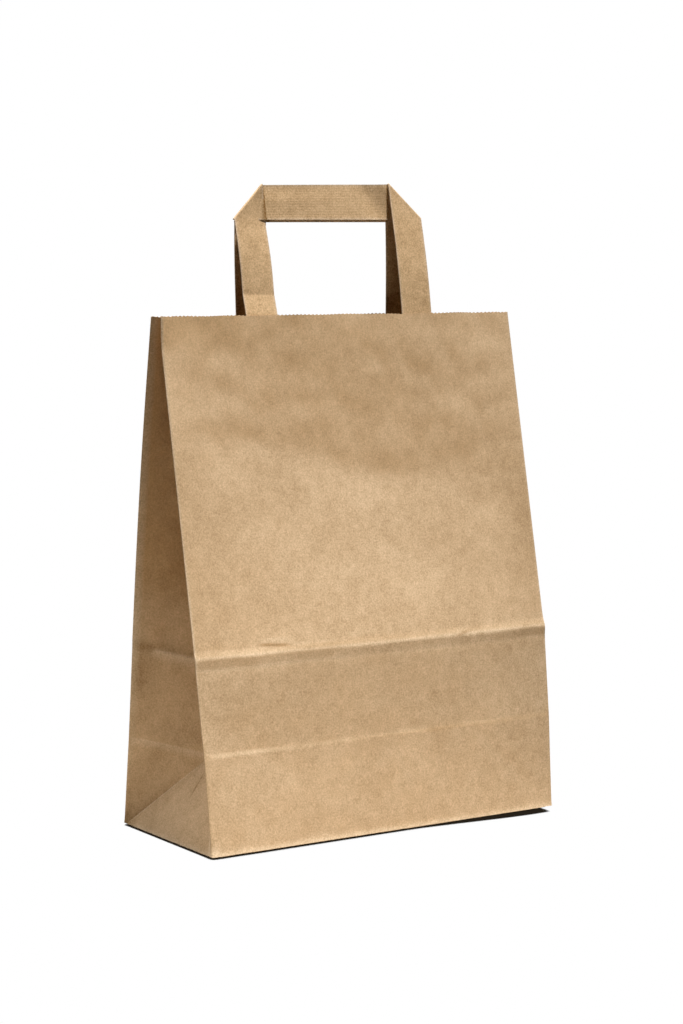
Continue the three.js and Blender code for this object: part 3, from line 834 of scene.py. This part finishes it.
def handle_point(panel, sizes, x, q, layer):
    """A point of a handle's middle surface: q is the height above the rim along the tape. Below the rim it
    follows the panel, and above it the legs flatten to one leaning plane on their way to the strap."""
    x, q, layer = np.broadcast_arrays(x, q, layer)
    q = np.where(q > 0, q * (1 + sizes["skew"] * np.sign(x)), q)
    side = panel.side
    lean = np.radians(sizes["lean"])
    glued = glued_point(panel, x, HEIGHT + np.minimum(q, 0), SEAT + layer)
    root = glued_point(panel, x, HEIGHT, SEAT)
    leg_middle = np.sign(x) * (sizes["outer"] - TAPE_WIDTH / 2)
    flat = glued_point(panel, leg_middle, HEIGHT, SEAT)
    flatten = smooth(q / (sizes["rise"] - TAPE_WIDTH))
    out = side * lerp(root[..., 1], flat[..., 1], flatten)
    out = out - q * np.sin(lean) - layer * np.cos(lean) + sizes["bend"](x, q)
    z = flat[..., 2] + q * np.cos(lean) - layer * np.sin(lean)
    free = np.stack((x + sizes["drift"] * q / sizes["rise"], side * out, z), axis=-1)
    return np.where((q <= 0)[..., None], glued, free)


def leg_bend(q, bends):
    """How far a leg stands out of its leaning plane, from its bends: pairs of a height and the degrees that
    the leg leans in more there. The average is taken off, so that the strap stays where it is."""
    heights = np.linspace(0, FRONT_HANDLE["rise"], 500)
    lean = np.radians(np.interp(heights, *zip(*bends)))
    offsets = -np.cumsum(lean - lean.mean()) * (heights[1] - heights[0])
    return np.interp(q, heights, offsets)


LEFT_BENDS = (
    (0, 7),
    (0.0104, 7.5),
    (0.0111, -3),
    (0.020, -2),
    (0.042, 5),
    (0.050, 3),
    (0.054, -3),
    (0.070, -3),
)
RIGHT_BENDS = ((0, -3), (0.012, -2), (0.030, 1), (0.045, 3), (0.060, 1))


def front_bend(x, q):
    """How the front legs bend; the inner edge of the left one curls back below the strap."""
    edge = (np.abs(x) - FRONT_HANDLE["outer"] + TAPE_WIDTH) / TAPE_WIDTH
    curl = np.where(x < 0, -1.2, 0.3) * MM * hump((q - 0.052) / 0.02) * (1 - smooth(edge / 0.5))
    bend = np.where(x < 0, leg_bend(q, LEFT_BENDS), leg_bend(q, RIGHT_BENDS))
    return np.where(q > 0, bend + curl, 0)


def rear_bend(x, q):
    """How the rear legs bend: one soft belly each."""
    depth = np.where(x < 0, 0.5, -0.4) * MM
    return np.where(q > 0, depth * np.sin(np.clip(q / 0.05, 0, 1) * np.pi), 0)


def tape_grid(panel, sizes):
    """One folded tape: up the right leg, back on itself over a 45 degree fold, along the strap behind the
    legs, over the second fold and down the left leg. Rows follow the tape and columns cross it."""
    inner = sizes["outer"] - TAPE_WIDTH
    x = inner + np.linspace(0, 1, TAPE_COLUMNS)[None, :] * TAPE_WIDTH
    diagonal = sizes["rise"] - (x - inner)

    def half(turn):
        glued = np.linspace(-GLUED_LENGTH, 0, GLUED_ROWS, endpoint=False)[:, None]
        level = np.linspace(0, LEVEL_REACH, LEVEL_ROWS, endpoint=False)[:, None]
        leg = np.linspace(0, 1, LEG_ROWS, endpoint=False)[:, None]
        fold = np.linspace(0, 1, FOLD_ROWS)[:, None]
        bulge = LAYER / 2 * np.sin(fold * np.pi) / np.sqrt(2)
        depth = LAYER / 2 * (1 - np.cos(fold * np.pi))
        return np.concatenate(
            (
                handle_point(panel, sizes, turn * x, glued, 0.0),
                handle_point(panel, sizes, turn * x, level + BARELY, 0.0),
                handle_point(panel, sizes, turn * x, lerp(LEVEL_REACH, diagonal, leg), 0.0),
                handle_point(panel, sizes, turn * (x + bulge), diagonal + bulge, depth),
            )
        )

    right, left = half(1), half(-1)
    ends = right[-1, :, 0], left[-1, :, 0]
    shown = inner - 0.2 * MM
    between = sizes["drift"] + shown * np.cos(np.linspace(0, np.pi, STRAP_ROWS))[:, None]
    t = (between - ends[0]) / (ends[1] - ends[0])
    hidden = np.linspace(0, 1, HIDDEN_ROWS + 2)[1:-1, None]
    t = np.concatenate((hidden * t[:1], t, 1 - hidden[::-1] * (1 - t[-1:])))
    strap = lerp(right[-1][None], left[-1][None], t[:, :, None])
    sway = 0.5 * MM * np.sin(t * np.pi) * np.sin(t * 5 + 1)
    set_back = np.linspace(0, 1, TAPE_COLUMNS)[None, :] * smooth(t / 0.1)
    twist = sizes["twist"] * set_back * (1 - smooth((t - 0.16) / 0.14))
    strap[:, :, 1] += sway + twist
    return np.concatenate((right, strap, left[::-1]))


def resting_lean(sizes):
    """The lean, in degrees, at which the rear strap just meets the back of the front strap."""
    middle = FRONT_HANDLE["outer"] - TAPE_WIDTH / 2
    top = handle_point(front, sizes, middle, sizes["rise"], LAYER + TAPE / 2)
    middle = REAR_HANDLE["outer"] - TAPE_WIDTH / 2
    root = glued_point(rear, middle, HEIGHT, SEAT + LAYER + TAPE + 0.4 * MM)
    return np.degrees(np.arcsin((root[1] - top[1]) / REAR_HANDLE["rise"]))


def patch_grid(panel, outer):
    """A patch glued to the panel and over both legs: it climbs onto each leg by a short ramp."""
    inner = outer - TAPE_WIDTH
    x = np.linspace(-1, 1, PATCH_COLUMNS)[None, :] * (outer + PATCH_MARGIN)
    low = HEIGHT - GLUED_LENGTH - PATCH_BELOW
    s = np.linspace(low, HEIGHT - PATCH_DROP, PATCH_ROWS)[:, None]
    beside = np.maximum(inner - np.abs(x), np.abs(x) - outer)
    below = HEIGHT - GLUED_LENGTH - s
    cover = (1 - smooth(beside / PATCH_RAMP)) * (1 - smooth(below / PATCH_RAMP))
    depth = PATCH_SEAT + PATCH_OVER * cover + np.abs(waves(x, s, 61, 0.02, 0.012, 0.04)) * 0.4
    return glued_point(panel, x, s, depth)


def seam_grid():
    """The glued overlap down the rear panel, a strip that stands a little off it, with a wavering edge."""
    s = np.linspace(SEAM_MARGIN, HEIGHT - SEAM_MARGIN, SEAM_ROWS)[:, None]
    t = np.linspace(1, 0, SEAM_COLUMNS)[None, :]
    x = SEAM_X + SEAM_WIDTH * t + 0.25 * MM * np.sin(s / 0.017) * t
    return glued_point(rear, x, s, -SEAM_STAND)


def flap_grid(fold_y, free_y, level, seed):
    """A pasted base flap: a trapezium from its base fold to its free edge, with ends cut at 45 degrees."""
    t = np.linspace(0, 1, FLAP_ROWS)[:, None]
    a = np.linspace(-1, 1, FLAP_COLUMNS)[None, :] * np.sign(free_y - fold_y)
    y = lerp(fold_y, free_y, t)
    half = BASE_HALF_WIDTH - FLAP_CORNER - np.abs(y - fold_y)
    x = -a * half
    z = level + np.abs(waves(x, y, seed, 0.004, 0.02, 0.06))
    return np.stack(np.broadcast_arrays(x, y, z), axis=-1)


# Materials

DEEPENING = (0.14, 0.0, -0.22)  # how a darker tone keeps red and loses blue
DEEPEST_SHADE = 0.7  # how much tone full shade takes away
FIBRE_TURN = (0.3, 0.2, 0.0)
FIBRE_SCALE = (1400.0, 1400.0, 450.0)
NODE_PITCH = 200
SHEET_AMOUNTS = {"Cloud": 0.36, "Blotch": 0.40, "Fleck": 0.92, "Fibre": 0.24}
TAPE_AMOUNTS = {"Cloud": 0.24, "Blotch": 0.56, "Fleck": 1.15, "Fibre": 0.3}


def add_node(tree, kind, inputs=None, **settings):
    """A node to the right of those that a tree has, with settings, and with inputs that are sockets or
    plain values."""
    node = tree.nodes.new(kind)
    node.location.x = NODE_PITCH * len(tree.nodes)
    for key, value in settings.items():
        setattr(node, key, value)
    for key, value in (inputs or {}).items():
        if isinstance(value, bpy.types.NodeSocket):
            tree.links.new(value, node.inputs[key])
        else:
            node.inputs[key].default_value = value
    return node


def math_node(tree, operation, first, second):
    """The result of a Math node over two inputs, each a socket or a number."""
    return add_node(tree, "ShaderNodeMath", {0: first, 1: second}, operation=operation).outputs[0]


def read_attribute(tree, name):
    """The values that a mesh has under a name."""
    return add_node(tree, "ShaderNodeAttribute", attribute_name=name).outputs["Fac"]


def bare_tree(owner):
    """The emptied node tree of a material or a world."""
    owner.use_nodes = True
    owner.node_tree.nodes.clear()
    return owner.node_tree


def unlike_to_camera(tree, others, camera):
    """A shader that is one thing to the camera and another to all other rays."""
    rays = add_node(tree, "ShaderNodeLightPath").outputs["Is Camera Ray"]
    sides = {"Fac": rays, 1: others, 2: camera}
    return add_node(tree, "ShaderNodeMixShader", sides).outputs["Shader"]


def make_fibre_group():
    """Paper fibre: clouds, blotches, flecks and short fibres, as a tone about 1 and a height."""
    tree = bpy.data.node_groups.new("paper_fibre", "ShaderNodeTree")
    for name in SHEET_AMOUNTS:
        tree.interface.new_socket(name, in_out="INPUT", socket_type="NodeSocketFloat")
    for name in ("Tone", "Height"):
        tree.interface.new_socket(name, in_out="OUTPUT", socket_type="NodeSocketFloat")
    amounts = add_node(tree, "NodeGroupInput").outputs
    place = add_node(tree, "ShaderNodeTexCoord").outputs["Object"]
    stretch = {"Vector": place, "Rotation": FIBRE_TURN, "Scale": FIBRE_SCALE}
    stretched = add_node(tree, "ShaderNodeMapping", stretch).outputs["Vector"]
    kinds = {
        "Cloud": {"Vector": place, "Scale": 26.0, "Detail": 3.0},
        "Blotch": {"Vector": place, "Scale": 170.0, "Detail": 4.0},
        "Fleck": {"Vector": place, "Scale": 1250.0, "Detail": 2.0},
        "Fibre": {"Vector": stretched, "Scale": 1.0, "Detail": 2.0},
    }
    values = {}
    tone = 1.0
    for name, sizes in kinds.items():
        noise = add_node(tree, "ShaderNodeTexNoise", sizes).outputs["Fac"]
        values[name] = math_node(tree, "SUBTRACT", noise, 0.5)
        share = math_node(tree, "MULTIPLY", values[name], amounts[name])
        tone = math_node(tree, "ADD", share, tone)
    height = math_node(tree, "ADD", values["Fleck"], values["Fibre"])
    add_node(tree, "NodeGroupOutput", {"Tone": tone, "Height": height})
    return tree


def make_kraft(name, colour, worn, amounts, roughness, bump, ribs=0.0):
    """A kraft paper: its colour times the fibre's tone, with fibre as bump. It is paler where the attribute
    `wear` says, which holds rubbed paper, painted highlights and a painted warmer shade colour, and darker
    where `shade` says, which holds mostly painted shade and painted light. Ribbed faces have fine lines
    along the tape, where `across` and `ribbed` say."""
    material = bpy.data.materials.new(name)
    tree = bare_tree(material)
    fibre = add_node(tree, "ShaderNodeGroup", amounts, node_tree=FIBRE).outputs
    tone = fibre["Tone"]
    height = fibre["Height"]
    if ribs:
        across = read_attribute(tree, "across")
        ribbed = read_attribute(tree, "ribbed")
        phase = math_node(tree, "MULTIPLY", across, 2 * np.pi / RIB_PITCH)
        line = math_node(tree, "SINE", phase, 0.0)
        line = math_node(tree, "MULTIPLY", line, ribbed)
        ribbing = math_node(tree, "MULTIPLY", line, ribs)
        tone = math_node(tree, "ADD", tone, ribbing)
        ribbing = math_node(tree, "MULTIPLY", line, RIB_HEIGHT)
        height = math_node(tree, "ADD", height, ribbing)
    shade = read_attribute(tree, "shade")
    shade = math_node(tree, "MULTIPLY", shade, DEEPEST_SHADE)
    tone = math_node(tree, "SUBTRACT", tone, shade)
    papers = {"A": (*colour, 1), "B": (*worn, 1), "Factor": read_attribute(tree, "wear")}
    paper = add_node(tree, "ShaderNodeMix", papers, data_type="RGBA", clamp_factor=False)
    gains = {"A": DEEPENING, "B": (1, 1, 1), "Factor": tone}
    gain = add_node(tree, "ShaderNodeMix", gains, data_type="VECTOR", clamp_factor=False)
    factors = {0: paper.outputs["Result"], 1: gain.outputs["Result"]}
    scaled = add_node(tree, "ShaderNodeVectorMath", factors, operation="MULTIPLY")
    bumps = {"Height": height, "Strength": 1.0, "Distance": bump}
    relief = add_node(tree, "ShaderNodeBump", bumps)
    looks = {
        "Base Color": scaled.outputs["Vector"],
        "Normal": relief.outputs["Normal"],
        "Roughness": roughness,
        "Specular IOR Level": 0.08,
    }
    shader = add_node(tree, "ShaderNodeBsdfPrincipled", looks)
    add_node(tree, "ShaderNodeOutputMaterial", {"Surface": shader.outputs["BSDF"]})
    return material


FIBRE = make_fibre_group()
sheet_kraft = make_kraft(
    "kraft_sheet",
    colour=(0.582, 0.406, 0.240),
    worn=(0.70, 0.53, 0.35),
    amounts=SHEET_AMOUNTS,
    roughness=0.82,
    bump=4e-5,
)
tape_kraft = make_kraft(
    "kraft_tape",
    colour=(0.615, 0.412, 0.224),
    worn=(0.66, 0.51, 0.36),
    amounts=TAPE_AMOUNTS,
    roughness=0.8,
    bump=2e-5,
    ribs=0.012,
)
patch_kraft = make_kraft(
    "kraft_patch",
    colour=(0.55, 0.36, 0.19),
    worn=(0.68, 0.50, 0.31),
    amounts=TAPE_AMOUNTS,
    roughness=0.85,
    bump=4e-5,
)


# Putting the bag together


def rubbed_edges(grid, rows):
    """Wear of a strip: along its side edges and the given rows."""
    wear = np.full(grid.shape[:2], 0.05)
    wear[:, (0, -1)] = 0.6
    wear[rows, :] = 0.6
    return wear


def add_body():
    """The folded sheet, its glued seam and its two pasted base flaps."""
    s = row_heights()
    grid = body_grid(s)
    heights = np.concatenate((np.zeros(len(BASE_SHARES)), s))
    add_piece(
        "bag_sheet",
        slab(grid, 0, -PAPER, closed=True),
        sheet_kraft,
        "bag_body",
        "kraft_sheet",
        wear=body_wear_and_painted_light(grid, heights),
        shade=body_shade(grid, heights),
    )
    free_edge = -FLAP_LAP / 2
    strips = {
        "rear_seam": seam_grid(),
        "front_base_flap": flap_grid(-BASE_HALF_DEPTH, -free_edge, FLAP + 0.03 * MM, 71),
        "rear_base_flap": flap_grid(BASE_HALF_DEPTH, free_edge, 0.01 * MM, 72),
    }
    for name, strip in strips.items():
        shell = slab(strip, 0, -FLAP)
        add_piece(name, shell, sheet_kraft, "bag_body", "kraft_sheet", wear=rubbed_edges(strip, (-1,)))


def add_handle(name, panel, sizes, ribbed_face, leg_shade):
    """A folded tape, with its ribs, its worn edges and folds, whose paleness at the folds is partly rubbed
    paper and partly painted highlight, and painted shade where the strap passes behind a leg and on one
    face of the legs."""
    grid = tape_grid(panel, sizes)
    across = np.broadcast_to(np.linspace(0, TAPE_WIDTH, TAPE_COLUMNS), grid.shape[:2])
    edge = np.minimum(across, TAPE_WIDTH - across)
    row = np.arange(len(grid))
    on_leg = GLUED_ROWS + LEVEL_ROWS + LEG_ROWS
    from_end = np.minimum(row, row[::-1])[:, None]
    on_fold = hump((from_end - on_leg - FOLD_ROWS / 2) / (FOLD_ROWS / 3))
    # the pale folds are partly rubbed paper and partly painted highlight
    wear = 0.7 * hump(edge / (0.8 * MM)) + 0.5 * on_fold
    strap = from_end >= on_leg + FOLD_ROWS
    beside = np.abs(grid[:, :, 0] - sizes["drift"]) - sizes["outer"] + TAPE_WIDTH
    # painted shade on the strap beside each leg's inner edge
    shade = np.stack(2 * [strap * hump((beside + 0.4 * MM) / (0.45 * MM))])
    # painted shade on one face of the legs
    shade[0] += leg_shade * (from_end < on_leg)
    faces = np.zeros(shade.shape)
    faces[ribbed_face] = 1
    add_piece(
        name,
        slab(grid, TAPE / 2, -TAPE / 2),
        tape_kraft,
        name,
        "kraft_tape",
        wear=np.clip(wear, 0, 1),
        across=across,
        ribbed=faces,
        shade=shade,
    )


def add_patch(name, panel, outer):
    """A patch with worn edges."""
    grid = patch_grid(panel, outer)
    shell = slab(grid, 0, -PATCH)
    add_piece(name, shell, patch_kraft, name, "kraft_patch", wear=rubbed_edges(grid, (0, -1)))


add_body()
front_sizes = {**FRONT_HANDLE, "bend": front_bend}
rear_sizes = {**REAR_HANDLE, "bend": rear_bend, "lean": resting_lean(front_sizes)}
add_handle("front_handle", front, front_sizes, ribbed_face=1, leg_shade=0.0)
add_handle("rear_handle", rear, rear_sizes, ribbed_face=0, leg_shade=0.35)
add_patch("front_handle_patch", front, FRONT_HANDLE["outer"])
add_patch("rear_handle_patch", rear, REAR_HANDLE["outer"])


# Floor, light and camera

FLOOR_LOW = (-0.32, -0.60)  # corners of the pale sheet that the bag stands on
FLOOR_HIGH = (0.125, 0.30)
CONTACT = 0.006  # reach of the painted contact shadow where the bag meets the floor
DIP = 0.0022  # how far the sheet sinks under the front right corner
STAND_OFF = 0.0007  # gap under the base's slightly hollow edge
CONTACT_SHARES = (0.55, 0.68)  # open shares of the floor's surround at which the painted contact shadow is darkest and the floor plain white
# colour of the painted contact shadow
CONTACT_SHADOW_COLOUR = (0.02, 0.015, 0.01, 1)
FLOOR_COLOUR = (0.51, 0.47, 0.41, 1)


def make_pale_floor():
    """Plain white to the camera with a painted contact shadow in the narrow gap under the bag, and matte to
    the light.
    """
    material = bpy.data.materials.new("pale_floor")
    tree = bare_tree(material)
    contact = add_node(tree, "ShaderNodeAmbientOcclusion", {"Distance": CONTACT}, samples=16)
    ramp = add_node(tree, "ShaderNodeValToRGB", {"Fac": contact.outputs["AO"]})
    for element, share in zip(ramp.color_ramp.elements, CONTACT_SHARES):
        element.position = share
    ramp.color_ramp.elements[0].color = CONTACT_SHADOW_COLOUR
    glow = add_node(tree, "ShaderNodeEmission", {"Color": ramp.outputs["Color"]})
    matte = add_node(tree, "ShaderNodeBsdfDiffuse", {"Color": FLOOR_COLOUR})
    shader = unlike_to_camera(tree, matte.outputs["BSDF"], glow.outputs["Emission"])
    add_node(tree, "ShaderNodeOutputMaterial", {"Surface": shader})
    return material


def add_floor():
    """The pale sheet that the bag stands on, which dips under the bag's front right corner."""
    x = np.linspace(FLOOR_LOW[0], FLOOR_HIGH[0], FLOOR_COLUMNS)[None, :]
    y = np.linspace(FLOOR_LOW[1], FLOOR_HIGH[1], FLOOR_ROWS)[:, None]
    z = -STAND_OFF - DIP * smooth((x - 0.008) / 0.095) * smooth((-y - 0.008) / 0.038)
    points = np.stack(np.broadcast_arrays(x, y, z), axis=-1).reshape(-1, 3)
    index = np.arange(len(points)).reshape(FLOOR_ROWS, FLOOR_COLUMNS)
    floor = add_mesh("floor", points, cells(index), make_pale_floor())


def add_sun(name, towards, strength, spread):
    """A distant light, given the direction to it and the angle that it spreads over."""
    lamp = bpy.data.lights.new(name, "SUN")
    lamp.energy = strength
    lamp.angle = np.radians(spread)
    sun = bpy.data.objects.new(name, lamp)
    sun.rotation_mode = "QUATERNION"
    sun.rotation_quaternion = Vector(towards).to_track_quat("Z", "Y")
    bpy.context.scene.collection.objects.link(sun)


def add_light():
    """A nearly overhead key, a soft fill from the upper left, a soft light on the sides turned away from
    the camera, and a faint surround that the camera sees as plain white."""
    for name, (towards, strength, spread) in LIGHTS.items():
        add_sun(name, towards, strength, spread)
    world = bpy.data.worlds.new("surround")
    bpy.context.scene.world = world
    tree = bare_tree(world)
    white = (1, 1, 1, 1)
    seen = add_node(tree, "ShaderNodeBackground", {"Color": white, "Strength": 1.0})
    shed = add_node(tree, "ShaderNodeBackground", {"Color": white, "Strength": SKY})
    shader = unlike_to_camera(tree, shed.outputs["Background"], seen.outputs["Background"])
    add_node(tree, "ShaderNodeOutputWorld", {"Surface": shader})


CAMERA_PLACE = (-0.685913, -1.068907, 0.287018)
CAMERA_YAW = 32.741  # degrees from +Y towards +X
CAMERA_PITCH = 5.474  # degrees down
CAMERA_ROLL = -0.314  # degrees
SENSOR = 36.0  # millimetres, for the longer side of the image
FOCAL_PIXELS = 2375.58
IMAGE_HEIGHT = 1024  # pixels


def add_camera():
    """The photograph's camera: its place, its three turns and its focal length in pixels."""
    yaw, pitch, roll = np.radians((CAMERA_YAW, CAMERA_PITCH, CAMERA_ROLL))
    ahead = np.array((np.sin(yaw) * np.cos(pitch), np.cos(yaw) * np.cos(pitch), -np.sin(pitch)))
    level = np.array((np.cos(yaw), -np.sin(yaw), 0.0))
    upright = np.cross(level, ahead)
    right = np.cos(roll) * level + np.sin(roll) * upright
    up = np.cos(roll) * upright - np.sin(roll) * level
    lens = bpy.data.cameras.new("camera")
    lens.sensor_width = SENSOR
    lens.lens = FOCAL_PIXELS / IMAGE_HEIGHT * SENSOR
    lens.clip_start = 0.05
    lens.clip_end = 20
    camera = bpy.data.objects.new("camera", lens)
    turned = Matrix(np.column_stack((right, up, -ahead)).tolist()).to_4x4()
    camera.matrix_world = Matrix.Translation(CAMERA_PLACE) @ turned
    bpy.context.scene.collection.objects.link(camera)
    bpy.context.scene.camera = camera


add_floor()
add_light()
add_camera()
bpy.context.scene.view_settings.view_transform = "Standard"

bpy.context.view_layer.update()
